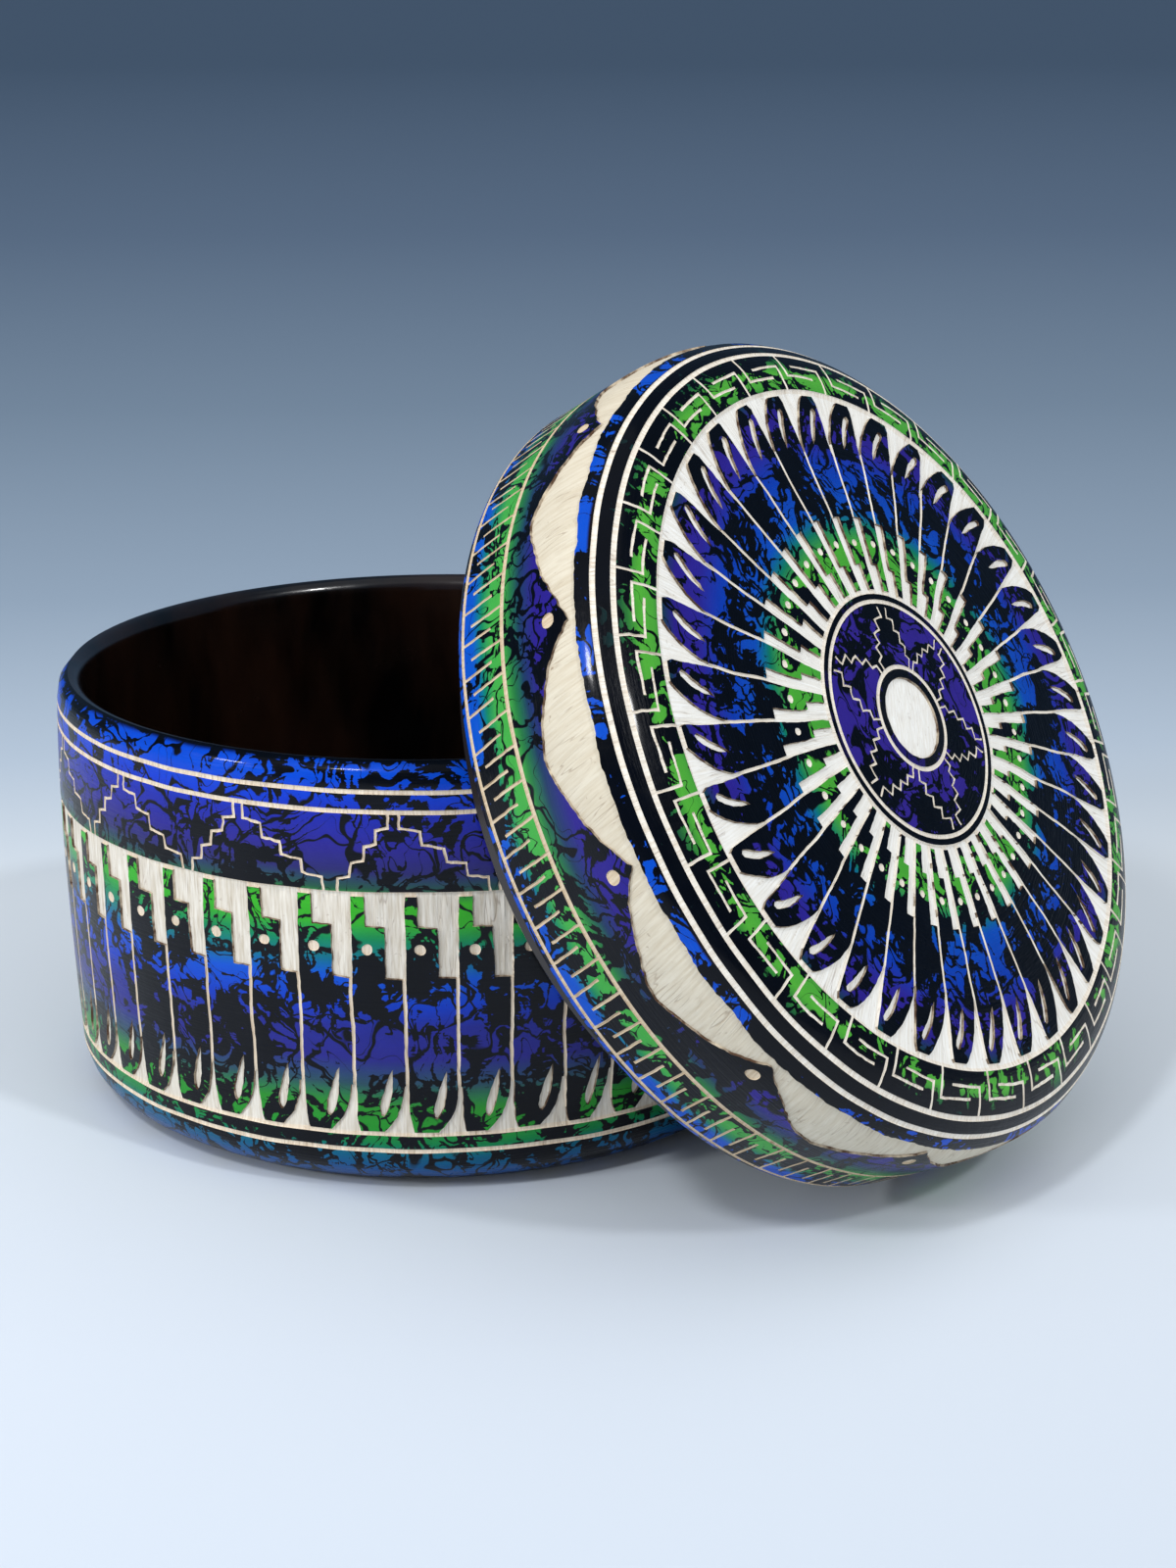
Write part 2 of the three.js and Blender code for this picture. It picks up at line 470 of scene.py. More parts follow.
def carve(sheet, lines, fields, settings, markZones, slantFrom=0):
    count, grid, plan = carving["facetsRound"], carving["grid"], sheet["plan"]
    facets = np.arange(count) * 360 / count
    rims = [planPoint(sheet, facets, np.full(count, sheet["length"]))]
    if not sheet["fromAxis"]:
        rims.append(planPoint(sheet, facets, np.zeros(count)))
    outlines = [*lines, *fields, *rims]
    outlinePoints = np.concatenate(outlines)
    outlineTree = kdtree.KDTree(len(outlinePoints))
    for i, (x, y) in enumerate(outlinePoints):
        outlineTree.insert((x, y, 0), i)
    outlineTree.balance()

    def clear(turn, along, clearance):
        points = planPoint(sheet, turn, along)
        free = [outlineTree.find((x, y, 0))[2] > clearance * k
                for (x, y), k in zip(points, planScale(sheet, along))]
        return points[np.array(free)]

    plain = clear(*plainRows(sheet), carving["plainClearance"])
    plain = plain[~insideShapes(plain, fields)]
    marks = clear(*markRows(sheet, fields, markZones), carving["markClearance"])
    centre = [np.zeros((1, 2))] if sheet["fromAxis"] else []
    corner, faces = triangulate(outlines, [plain, marks, *centre])

    middles = corner[faces].mean(1)
    if not sheet["fromAxis"]:
        hole = plan[0] * math.cos(math.pi / count)
        onSheet = np.hypot(middles[:, 0], middles[:, 1]) >= hole
        faces, middles = faces[onSheet], middles[onSheet]
    cut = insideShapes(middles, [*lines, *fields])
    inField = insideShapes(middles, fields)

    turn, along = fromPlan(sheet, corner)
    top, outward = placeOnClay(sheet, turn, along)
    uneven = np.array([noise.noise(Vector(p) * carving["unevenSize"]) for p in top])
    deep = np.zeros(len(corner), bool)
    deep[np.unique(faces[inField])] = True
    depth = np.where(deep, carving["depth"] + carving["unevenField"] * uneven,
                     carving["lineDepth"] + carving["unevenLine"] * uneven)
    marked = {(round(x / grid), round(y / grid)) for x, y in marks}
    isMark = np.array([(round(x / grid), round(y / grid)) in marked for x, y in corner])
    marksTurn = turn - settings["slant"] * np.maximum(along - slantFrom, 0)
    depth += np.where(isMark, toolMarks(marksTurn, along, settings), 0)

    # Cut faces take their own lower vertices, drawn in from the edge so that the cut's wall leans
    topPoints = sorted(set(faces[~cut].ravel().tolist()))
    lowPoints = sorted(set(faces[cut].ravel().tolist()))
    shared = np.intersect1d(topPoints, lowPoints)
    shift = towardsCut(top, faces[cut]) * carving["lean"]
    low = top - outward * depth[:, None]
    low[shared] += shift[shared]
    topId = {v: i for i, v in enumerate(topPoints)}
    lowId = {v: i + len(topId) for i, v in enumerate(lowPoints)}

    made, kinds, walls, wallKinds = [], [], [], []
    topEdges = set()
    for face, isCut, isField in zip(faces.tolist(), cut, inField):
        ids = lowId if isCut else topId
        made.append([ids[v] for v in face])
        kinds.append(("field" if isField else "line") if isCut else "slip")
        if not isCut:
            topEdges.update(edgesOf(face))
    for face, isField in zip(faces[cut].tolist(), inField[cut]):
        for a, b in edgesOf(face):
            if (b, a) in topEdges:
                walls.append([topId[b], lowId[b], lowId[a], topId[a]])
                wallKinds.append("fieldWall" if isField else "lineWall")
    made += walls
    if sheet["side"] > 0:
        made = [face[::-1] for face in made]

    # The facets' corners along each rim, for the turned parts
    reach = np.hypot(corner[:, 0], corner[:, 1])
    rings = []
    for rim in (plan[-1], plan[0])[:len(rims)]:
        ring = {round(turn[v] / 360 * count) % count: topId[v]
                for v in topId if abs(reach[v] - rim) < 0.01}
        rings.append([ring[i] for i in range(count)])
    order = topPoints + lowPoints
    turns, alongs = np.radians(marksTurn)[order], along[order]
    turns = np.stack([np.cos(turns), np.sin(turns)], 1)
    radius, across, onward = settings["grain"]
    grain = np.concatenate([turns * radius * across, alongs[:, None] * onward], 1)
    print(f"pattern: {len(corner)} plan points, {cut.sum()} cut faces, {len(walls)} wall faces")
    return {
        "vertices": np.concatenate([top[topPoints], low[lowPoints]]).tolist(),
        "faces": made, "kinds": kinds + wallKinds, "rings": rings, "outward": outward[order],
        "turns": turns, "alongs": alongs, "grain": grain,
    }


# The plain turned parts of a piece, from a ring of the carved part to the axis
def addTurned(clay, ring, profile, kind, flip):
    count = len(ring)
    angles = [2 * math.pi * k / count for k in range(count)]
    for radius, height in profile:
        first, onAxis = len(clay["vertices"]), radius < tiny
        places = [[radius * math.cos(a), radius * math.sin(a), height] for a in angles]
        clay["vertices"] += [[0, 0, height]] if onAxis else places
        new = [first] * count if onAxis else list(range(first, first + count))
        for k in range(count):
            j = (k + 1) % count
            face = [ring[k], ring[j], new[j], new[k]][:3 if onAxis else 4]
            clay["faces"].append(face[::-1] if flip else face)
            clay["kinds"].append(kind)
        ring = new


slotOf = {"slip": 0, "field": 1, "fieldWall": 2, "inside": 3, "under": 4, "line": 5, "lineWall": 5}
sharpAngle = 34  # degrees


def buildPiece(name, clay, slip, etched, lined, place):
    mesh = bpy.data.meshes.new(name)
    points = [place @ (Vector(v) * metresPerMm) for v in clay["vertices"]]
    mesh.from_pydata(points, [], clay["faces"])
    for material in (slip, etched, edges, inside, under, lined):
        mesh.materials.append(material)
    kinds = clay["kinds"]
    mesh.polygons.foreach_set("material_index", [slotOf[k] for k in kinds])
    mesh.polygons.foreach_set("use_smooth", [k not in ("fieldWall", "lineWall") for k in kinds])
    extra = len(clay["vertices"]) - len(clay["alongs"])
    along = mesh.attributes.new("along", "FLOAT", "POINT")
    along.data.foreach_set("value", np.concatenate([clay["alongs"], np.zeros(extra)]))
    grain = mesh.attributes.new("grain", "FLOAT_VECTOR", "POINT")
    grain.data.foreach_set("vector", np.concatenate([clay["grain"], np.zeros((extra, 3))]).ravel())
    mesh.set_sharp_from_angle(angle=math.radians(sharpAngle))

    # The slip's faces are shaded as the smooth clay, with no trace of the cuts beside them
    turned = place.to_3x3()
    outward = [turned @ Vector(v) for v in clay["outward"]]
    normals = np.zeros((len(mesh.loops), 3))
    for polygon, kind in zip(mesh.polygons, kinds):
        if kind == "slip":
            for k in polygon.loop_indices:
                normals[k] = outward[mesh.loops[k].vertex_index]
    mesh.normals_split_custom_set(normals.tolist())
    mesh.validate()
    triangles = sum(len(p.vertices) - 2 for p in mesh.polygons)
    print(f"{name}: {len(mesh.vertices)} vertices, {triangles} triangles")
    return addObject(name, mesh)


# Materials
def colour(red, green, blue):
    return tuple((c / 255) ** 2.2 for c in (red, green, blue)) + (1,)


class NodeMaker:
    def __init__(self, name, kind=bpy.data.materials):
        owner = kind.new(name)
        owner.use_nodes = True
        self.owner, self.tree = owner, owner.node_tree
        self.tree.nodes.clear()

    def make(self, kind, inputs=None, **settings):
        node = self.tree.nodes.new(kind)
        for key, value in settings.items():
            setattr(node, key, value)
        for key, value in (inputs or {}).items():
            if isinstance(value, bpy.types.NodeSocket):
                self.tree.links.new(value, node.inputs[key])
            else:
                node.inputs[key].default_value = value
        return node

    def place(self):
        return self.make("ShaderNodeTexCoord").outputs["Object"]

    def attribute(self, name, output):
        return self.make("ShaderNodeAttribute", attribute_name=name).outputs[output]

    def calc(self, operation, a, b=0.0, c=0.0, clamp=False):
        inputs = {0: a, 1: b, 2: c}
        return self.make("ShaderNodeMath", inputs, operation=operation, use_clamp=clamp).outputs[0]

    def excess(self, value, limit, steepness):  # 0 below the limit, then rising to 1
        return self.calc("MULTIPLY", self.calc("SUBTRACT", value, limit), steepness, clamp=True)

    def vector(self, operation, inputs):
        return self.make("ShaderNodeVectorMath", inputs, operation=operation).outputs[0]

    def cloud(self, where, scale, detail=2.0, roughness=0.5, output=0):
        inputs = {"Vector": where, "Scale": scale, "Detail": detail, "Roughness": roughness}
        return self.make("ShaderNodeTexNoise", inputs).outputs[output]

    def shove(self, where, scale, amount):
        spread = self.cloud(where, scale, output=1)
        spread = self.vector("SUBTRACT", {0: spread, 1: (0.5, 0.5, 0.5)})
        spread = self.vector("SCALE", {0: spread, "Scale": amount})
        return self.vector("ADD", {0: where, 1: spread})

    def mix(self, share, a, b, blend="MIX"):
        inputs = {0: share, 6: a, 7: b}
        return self.make("ShaderNodeMix", inputs, data_type="RGBA", blend_type=blend).outputs[2]

    def ramp(self, value, stops):
        node = self.make("ShaderNodeValToRGB", {0: value})
        elements = node.color_ramp.elements
        while len(elements) > 1:
            elements.remove(elements[-1])
        elements[0].position, elements[0].color = stops[0]
        for position, shade in stops[1:]:
            elements.new(position).color = shade
        return node.outputs[0]

    def bump(self, height, strength, distance, under=None):
        inputs = {"Strength": strength, "Distance": distance, "Height": height}
        if under is not None:
            inputs["Normal"] = under
        return self.make("ShaderNodeBump", inputs).outputs[0]

    def surface(self, inputs):
        shader = self.make("ShaderNodeBsdfPrincipled", inputs)
        self.make("ShaderNodeOutputMaterial", {0: shader.outputs[0]})
        return self.owner


slipLook = {
    "ink": ((5, 7, 12), (11, 16, 26)),  # the black slip's two shades
    "wash": (4, 8, 28),  # lies thinly over the bands' colours
    "bandDrift": 3.2,  # mm, how far the bands' edges stray
    "coverWeight": 0.42,  # of a band's share of black
    "strokeWeight": 0.16,  # of the brush strokes
    "lessAmount": 0.58,  # taken off the sum of both and the noise
    "threads": [  # size, width, growth with the amount of slip, least width
        (62.0, 0.018, 0.20, 0.016), (108.0, 0.030, 0.35, 0.023),
        (185.0, 0.034, 0.50, 0.010), (310.0, 0.024, 0.70, 0),
    ],
    "coat": {"Coat Weight": 0.26, "Coat Roughness": 0.1, "Specular IOR Level": 0.08},
}


def paintedSlip(name, bands, length, lowSideShade=0.0):
    look = slipLook
    n = NodeMaker(name)
    where, along, grain = n.place(), n.attribute("along", "Fac"), n.attribute("grain", "Vector")
    drift = n.calc("SUBTRACT", n.cloud(where, 30.0), 0.5)
    drift = n.calc("MULTIPLY", drift, look["bandDrift"])
    band = n.calc("DIVIDE", n.calc("ADD", along, drift), length)
    paint = n.ramp(band, [(p / length, colour(*c)) for p, c, k in bands])
    shares = [(p / length, (k, k, k, 1)) for p, c, k in bands]
    cover = n.ramp(n.calc("DIVIDE", along, length), shares)

    # Black slip, brushed on round the piece: curling threads that run together into blotches
    # where there is more of it
    curled = n.shove(n.shove(where, 70.0, 0.024), 190.0, 0.004)
    frayed = n.shove(n.shove(where, 120.0, 0.016), 380.0, 0.004)
    brushed = n.vector("MULTIPLY", {0: grain, 1: (0.05, 0.05, 14.0)})
    strokes = n.cloud(brushed, 1.0, detail=3.0, roughness=0.6)
    blotches = n.cloud(frayed, 88.0, detail=4.0, roughness=0.6)
    amount = n.calc("MULTIPLY_ADD", n.calc("SUBTRACT", cover, 0.5), look["coverWeight"], blotches)
    amount = n.calc("MULTIPLY_ADD", strokes, look["strokeWeight"], amount)
    amount = n.calc("SUBTRACT", amount, look["lessAmount"])
    # Painted shade: more black towards the lid's low side
    lowSide = n.calc("MAXIMUM", n.make("ShaderNodeSeparateXYZ", {0: grain}).outputs["X"], 0)
    amount = n.calc("MULTIPLY_ADD", lowSide, lowSideShade, amount)
    ink = n.excess(amount, 0.095, 70)
    specks = n.excess(n.cloud(frayed, 520.0, detail=1.0), 0.62, 30)
    ink = n.calc("SUBTRACT", ink, specks, clamp=True)
    for size, width, growth, least in look["threads"]:
        line = n.calc("SUBTRACT", n.cloud(curled, size, detail=0.5, roughness=0.3), 0.5)
        wide = n.calc("MAXIMUM", n.calc("MULTIPLY_ADD", amount, growth, width), least)
        ink = n.calc("MAXIMUM", ink, n.excess(wide, n.calc("ABSOLUTE", line), 150))
    inkColour = n.mix(n.cloud(where, 140.0), *(colour(*c) for c in look["ink"]))
    wash = n.calc("MULTIPLY_ADD", n.cloud(where, 300.0, detail=3.0), 0.2, 0.12)
    base = n.mix(ink, n.mix(wash, paint, colour(*look["wash"])), inkColour)

    # Brush strokes break up what the glaze reflects
    rough = n.calc("MULTIPLY_ADD", n.cloud(where, 210.0, detail=3.0), 0.2, 0.2)
    raised = n.bump(ink, 0.5, 0.00004)
    raised = n.bump(n.cloud(where, 420.0, detail=3.0), 0.4, 0.0002, raised)
    raised = n.bump(strokes, 0.6, 0.0002, raised)
    return n.surface({"Base Color": base, "Roughness": rough, "Normal": raised, **look["coat"]})


clayLook = {
    "stainAndShade": (120, 88, 58),
    "stainAndShadeShare": 0.5,
    "scratchShare": 0.8,
    "gloss": {"Roughness": 0.82, "Specular IOR Level": 0.25},
}


def bareClay(name, pale, deep, warm=None, warmFrom=0):
    n = NodeMaker(name)
    where, grain = n.place(), n.attribute("grain", "Vector")
    pale, deep, stainAndShade = colour(*pale), colour(*deep), colour(*clayLook["stainAndShade"])
    # Deep tone where the streaks sink: partly the clay's own tone, partly painted shade in the
    # grooves
    streak = n.cloud(grain, 1.0, detail=3.0, roughness=0.6)
    broad = n.cloud(where, 90.0)
    base = n.mix(n.excess(streak, 0.30, 2.6), deep, pale)
    base = n.mix(n.excess(broad, 0.56, 1.2), base, deep)
    if warm is not None:
        beyond = n.calc("SUBTRACT", n.attribute("along", "Fac"), warmFrom, clamp=True)
        base = n.mix(beyond, base, colour(*warm), "MULTIPLY")

    # Scratches along the grain, broken here and there, and dark specks
    # The stain in the scratches, where the bump sinks them, is partly painted shade in the grooves
    scratch = n.calc("ABSOLUTE", n.calc("SUBTRACT", n.cloud(grain, 0.7, detail=0.0), 0.5))
    scratch = n.excess(0.035, scratch, 30)
    scratch = n.calc("MULTIPLY", scratch, n.excess(n.cloud(where, 170.0), 0.42, 5))
    specks = n.excess(n.cloud(where, 700.0, roughness=0.7), 0.68, 9)
    specksAndScratchShade = n.calc("ADD", specks, n.calc("MULTIPLY", scratch, clayLook["scratchShare"]))
    base = n.mix(n.calc("MULTIPLY", specksAndScratchShade, clayLook["stainAndShadeShare"]), base, stainAndShade)
    relief = n.calc("SUBTRACT", streak, n.calc("MULTIPLY", scratch, 0.5))
    raised = n.bump(relief, 0.5, 0.00016)
    raised = n.bump(n.cloud(where, 900.0), 0.4, 0.00005, raised)
    return n.surface({"Base Color": base, "Normal": raised, **clayLook["gloss"]})


def cutEdge(name, pale, scorched):
    n = NodeMaker(name)
    where = n.place()
    patches = n.excess(n.cloud(where, 380.0, detail=3.0, roughness=0.6), 0.40, 3.2)
    base = n.mix(patches, colour(*scorched), colour(*pale))
    rough = n.calc("MULTIPLY_ADD", n.cloud(where, 800.0), 0.2, 0.6)
    raised = n.bump(n.cloud(where, 1200.0), 0.5, 0.00005)
    return n.surface({"Base Color": base, "Roughness": rough, "Normal": raised})


def darkGlaze(name, low, high):
    n = NodeMaker(name)
    where = n.place()
    tall = {"Vector": where, "Scale": (1.0, 1.0, 0.35)}  # drips are drawn out downwards
    stretched = n.make("ShaderNodeMapping", tall).outputs[0]
    drips = n.cloud(n.shove(stretched, 40.0, 0.01), 48.0, detail=4.0, roughness=0.6)
    base = n.mix(n.excess(drips, 0.38, 3.4), colour(*low), colour(*high))
    rough = n.calc("MULTIPLY_ADD", n.cloud(where, 120.0, detail=3.0), 0.16, 0.16)
    raised = n.bump(n.cloud(where, 160.0), 0.4, 0.0002)
    return n.surface({
        "Base Color": base, "Roughness": rough, "Normal": raised,
        "Coat Weight": 0.4, "Coat Roughness": 0.1})


edges = cutEdge("cut edge", (216, 202, 178), (86, 60, 40))
inside = darkGlaze("dark inner glaze", (8, 5, 4), (37, 25, 19))
under = darkGlaze("dark underside", (14, 14, 18), (26, 26, 32))
print("cut edge and glaze materials made")


# Body
bodyQuill = 0.58
quillEdge = math.degrees(bodyQuill / 2 / 70)  # half the quill, in degrees of turn
bodySettings = {
    "skin": 0.08,  # how far the painted face lies inside the CAD section
    "ridge": 0.15,  # height of the tool's marks
    "ridgesPerDegree": 2.6,
    "slant": 0,  # of the marks, in degrees of turn for each mm along
    "markZones": [(40.5, 56.4, 960, 1.5), (11.5, 25, 960, 1.5)],  # heights, points round, step
    "grain": (70, 2.1, 0.16),  # radius, noise cells for each mm round the piece and along it
    "rings": [(8.8, 0.8), (12.0, 0.8), (56.1, 0.85), (70.4, 0.8), (73.8, 0.8)],  # height, width
    "feathers": 48,
    "firstQuill": -124.9,  # degrees of turn
    "featherSway": (0.35, 0.18, 0.0016),  # slow waver, then sway in degrees and creep
    "featherParts": [  # name, mm between an outline's points, fine waver, seed
        ("quill", 0, 0.12, 3), ("block", 0.9, 0.16, 3), ("crescent", 0.8, 0.16, 51),
        ("foot", 0.8, 0.16, 99),
    ],
    "quill": bodyQuill,
    "quillEnds": (12, 56.1),
    "dot": (-5.1, 46.3, 1.95, 14),  # turn from the quill, height, width, sides
    # Outlines of a feather's fields, as turn from the quill and height
    "block": [
        (-5.35, 56.2), (-5.3, 50.3), (-2.65, 50.1), (-2.6, 41.2), (quillEdge, 41.0),
        (quillEdge, 56.2),
    ],
    "crescent": [
        (-1.9, 24.2), (-1.95, 22.4), (-2.05, 20.4), (-2.25, 18.6), (-2.6, 16.9), (-3.0, 15.7),
        (-3.4, 15.1), (-3.75, 15.3), (-3.95, 16.3), (-3.8, 17.9), (-3.4, 19.6), (-2.9, 21.4),
        (-2.4, 23.0),
    ],
    "foot": [
        (-quillEdge, 21.2), (-0.55, 18.6), (-0.95, 16.8), (-1.5, 15.2), (-2.2, 13.9),
        (-2.9, 13.0), (-3.5, 12.1), (1.0, 12.1), (0.68, 13.6), (0.45, 15.5), (0.32, 18),
        (quillEdge, 21.2),
    ],
    "tents": 16,
    "tentTop": -118.4,  # turn of a tent's peak and of its left foot
    "tentFoot": -127.35,
    "tentGaps": (0.8, 0.7),  # degrees, half the gap at the feet and at the peak
    "tentHeights": (56.4, 70.2),
    "tentSteps": 5,
    "tentLine": 0.46,
    "clay": ((241, 236, 225), (204, 193, 174)),  # pale and deep
    "lineClay": ((242, 230, 212), (212, 194, 170)),
    "bands": [  # height, colour, share of black
        (0, (0, 40, 95), 0.55), (4, (0, 88, 160), 0.42), (8, (0, 108, 138), 0.46),
        (10, (12, 140, 80), 0.55), (13, (44, 160, 52), 0.60), (17, (50, 156, 52), 0.60),
        (21, (50, 88, 100), 0.55), (26, (48, 48, 146), 0.50), (32, (42, 50, 156), 0.50),
        (36, (14, 66, 206), 0.62), (41, (0, 90, 222), 0.68), (44, (0, 118, 150), 0.66),
        (48, (20, 150, 92), 0.40), (51, (60, 188, 48), 0.34), (55, (66, 196, 46), 0.34),
        (57, (44, 96, 74), 0.42), (60, (50, 50, 118), 0.42), (64, (50, 46, 154), 0.38),
        (69, (34, 50, 184), 0.42), (72, (10, 66, 220), 0.48), (76.5, (0, 84, 226), 0.50),
        (78.5, (0, 76, 214), 0.52), (78.75, (4, 40, 120), 0.70), (78.8, (8, 12, 24), 1.0),
    ],
}
bodyOuter = (
    ellipsePart((57.4, 8.75), (11.3, 8.75), -90, 0)
    + curve((68.7, 8.75), (71.3, 52.117), (70, 73.8), steps=96)
    + ellipsePart((67.8, 73.8), (2.2, 5.0), 0, 90)
)
bodyInner = (
    ellipsePart((67.8, 75.8), (2.6, 3), 90, 180, 6)[1:]
    + [(65.2, z) for z in (60, 45, 30)]
    + ellipsePart((58.2, 13), (7, 7), 0, -90, 8)
    + [(44, 6), (30, 6), (15, 6), (0, 6)]
)
bodyUnder = [(44, 0), (30, 0), (15, 0), (0, 0)]


def carveBody(body):
    sheet = makeSheet(bodyOuter, 1, body["skin"])
    sheet["levels"] = sheet["height"], sheet["along"]
    etched = bareClay("etched clay, body", *body["clay"])
    lined = bareClay("etched lines, body", *body["lineClay"])
    lines, fields = [], []
    for height, width in body["rings"]:
        lines += layRing(sheet, level(sheet, height), width, etched, slow=0.16)
    layFeathers(sheet, etched, body, lines, fields)
    footGap, topGap = body["tentGaps"]
    left, top = body["tentFoot"], body["tentTop"]
    right = left + 360 / body["tents"]
    heights = [level(sheet, z) for z in body["tentHeights"]]
    sides = [
        stepsBetween(start, end, *heights, body["tentSteps"], 0.1)
        for start, end in ((left + footGap, top - topGap), (right - footGap, top + topGap))]
    tent = [stroke(sheet, path, body["tentLine"], 0.9) for path in sides]
    lines += layOut(sheet, tent, etched, body["tents"], 0.22, 0.5,
                    sway=0.35, creep=0.0012, seed=71)

    zones = [(level(sheet, low), level(sheet, high), *rest)
             for low, high, *rest in body["markZones"]]
    clay = carve(sheet, lines, fields, body, zones)
    endRing, startRing = clay["rings"]
    addTurned(clay, endRing, bodyInner, "inside", False)
    addTurned(clay, startRing, bodyUnder, "under", True)
    bands = [(level(sheet, z), c, k) for z, c, k in body["bands"]]
    slip = paintedSlip("painted slip, body", bands, sheet["length"])
    return buildPiece("carved_body", clay, slip, etched, lined, Matrix.Identity(4))


carvedBody = carveBody(bodySettings)
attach(carvedBody, "box")
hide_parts("box_body")


# Lid
lidHeight = 36.6  # from its seat to the crown
lidSettings = {
    "skin": 0.25,
    "ridge": 0.045,
    "ridgesPerDegree": 2.2,
    "slant": 0.23,  # on the side only
    "discMarks": (0.8, 7.0, 60, 1.0),  # distances from the crown, points round, step
    "featherMarks": [(23.2, 37.4, 560, 1.3), (49, 60.6, 900, 1.4)],  # radii, points round, step
    "waveMarks": (0.2, 11, 900, 1.3),  # distances below the dome's edge, points round, step
    "grain": (74, 1.9, 0.16),
    "discGrain": ((0.5, 0.87), 2.4, 0.3),  # way across it, noise cells for each mm across and along
    "rings": [  # radius, width
        (9.2, 0.8), (21.25, 0.75), (23.1, 0.85), (60.65, 1.15), (68.85, 0.95), (71.4, 0.95),
    ],
    "discRadius": 7.25,
    "feathers": 37,
    "firstQuill": 1.7,
    "featherSway": (0.3, 0.25, 0.003),
    "featherParts": [
        ("quill", 0, 0.10, 10), ("block", 0.9, 0.15, 10), ("tip", 0.9, 0.15, 47),
        ("crescent", 0.8, 0.14, 84),
    ],
    "quill": 0.52,
    "quillEnds": (23, 60.4),
    "dot": (-0.64, 32.3, 1.35, 12),  # feathers from the quill, radius, width, sides
    # Outlines of a feather's fields, as feathers from the quill and radius
    "block": [
        (-0.62, 23), (-0.60, 28.4), (-0.33, 28.4), (-0.31, 37.1), (0.035, 37.1), (0.06, 23),
    ],
    "tip": [
        (0.34, 60.5), (0.40, 60.0), (0.50, 59.0), (0.60, 57.7), (0.70, 56.2), (0.79, 54.7),
        (0.88, 52.7), (0.95, 50.9), (1.0, 48.8), (1.03, 49.6), (1.03, 58.8), (1.08, 60.0),
        (1.10, 60.5),
    ],
    "crescent": [
        (0.16, 57.2), (0.20, 57.8), (0.27, 57.6), (0.36, 56.4), (0.45, 54.8), (0.52, 52.8),
        (0.56, 50.6), (0.46, 51.6), (0.38, 53.2), (0.28, 55.0), (0.20, 56.2),
    ],
    "tents": 6,
    "firstTent": 55,
    "tentTurns": (3.7, 26),  # half its width in degrees, at its outer end and near the disc
    "tentRadii": (20.3, 9.4),
    "tentSteps": 5,
    "tentLine": 0.36,
    "keys": 33,
    "firstKey": 7.0,
    "keyLine": 0.5,
    "keyPaths": [[(0, 61.0), (0, 66.0), (6.5, 65.9)], [(8.7, 68.8), (8.7, 63.9), (2.3, 63.7)]],
    "edgeRadius": 73.05,  # where the dome's black ring ends
    "scallops": 12,
    "firstScallop": 18,
    "wave": (10.2, 8.9, 1.45),  # reach down the side, how much less at its ends, power
    "crestDot": (5.0, 2.4),  # distance below the dome's edge, width
    "tickRing": 15.4,  # below the dome's edge, along the side
    "footRing": 24.7,
    "sideRings": (0.85, 0.78),  # widths of these two
    "ticks": 77,
    "firstTick": 0.7,
    "tickLine": 0.5,
    "tickLengths": (7.3, 6.6),
    # Uneven spacing round the lid: a first turn, and degrees further on, evenly round from there
    "featherDrift": (
        15, [0.3, -0.75, -1.3, -1.35, -2.05, -2.1, -1.95, -0.6, 1.7, 2.2, 1.75, 0.8]),
    "scallopDrift": (3, [0.6, -0.6, -1.8, -3.0, -3.9, -4.5, -4.6, -4.2, -2.5, -0.7, 0.6, 1.1]),
    "keyDrift": (10, [-0.8, 0.0, 0.3, 0.5, 0.6, 1.6, 2.0, 0.4, -1.2, -1.9, -3.3, -2.6]),
    "tentDrift": (55, [7.2, 4.3, -10.7, -6.5, 0.5, 5.8]),
    "clay": ((248, 249, 246), (229, 225, 215)),
    "lineClay": ((246, 242, 233), (221, 210, 193)),
    "sideClay": (228, 219, 202),  # multiplies the clay's colours on the side
    "sideLineClay": (232, 218, 198),
    "bands": [  # distance from the crown, colour, share of black
        (0, (58, 36, 165), 0.5), (7.3, (40, 30, 110), 0.85), (8.7, (40, 30, 110), 0.85),
        (9.6, (56, 42, 150), 0.54), (20.6, (56, 42, 150), 0.54), (21.4, (24, 18, 60), 0.85),
        (22.7, (24, 18, 60), 0.85), (23.5, (78, 178, 62), 0.53), (32, (80, 184, 58), 0.50),
        (35.5, (14, 132, 100), 0.58), (39, (0, 84, 200), 0.62), (47, (8, 64, 188), 0.57),
        (52, (50, 42, 158), 0.52), (57, (50, 36, 146), 0.66), (60, (20, 70, 60), 0.72),
        (61.3, (82, 180, 64), 0.56), (64.5, (90, 190, 64), 0.44), (66.2, (56, 140, 60), 0.70),
        (68.5, (10, 60, 60), 0.90),
    ],
    "sideBands": [  # distance below the dome's edge
        (-3.1, (24, 16, 14), 0.95), (-2.5, (24, 16, 14), 0.92), (-2.2, (0, 84, 214), 0.62),
        (0.2, (0, 84, 214), 0.62), (1.4, (46, 38, 144), 0.58), (8, (50, 38, 146), 0.48),
        (11.5, (34, 64, 100), 0.45), (14, (44, 130, 70), 0.43), (16, (76, 184, 76), 0.45),
        (18.5, (72, 184, 80), 0.47), (20.5, (14, 140, 100), 0.55), (22.5, (0, 90, 210), 0.56),
        (29, (0, 84, 222), 0.52),
    ],
    "lowSideShade": 0.0003,  # painted shade: added share of black, for each unit of grain to the lid's low side
}
lidOuter = (
    curve((0, lidHeight), (15.3, lidHeight), (61.2, 34.3), steps=96)
    + curve((61.2, 34.3), (70.44, 33.32), (74.4, 28.7), (74.4, 20.3), steps=96)
    + curve((74.4, 20.3), (74.1, 11.9), (73.8, 3.5))
    + ellipsePart((71.3, 3.5), (2.5, 3.5), 0, -90)
)
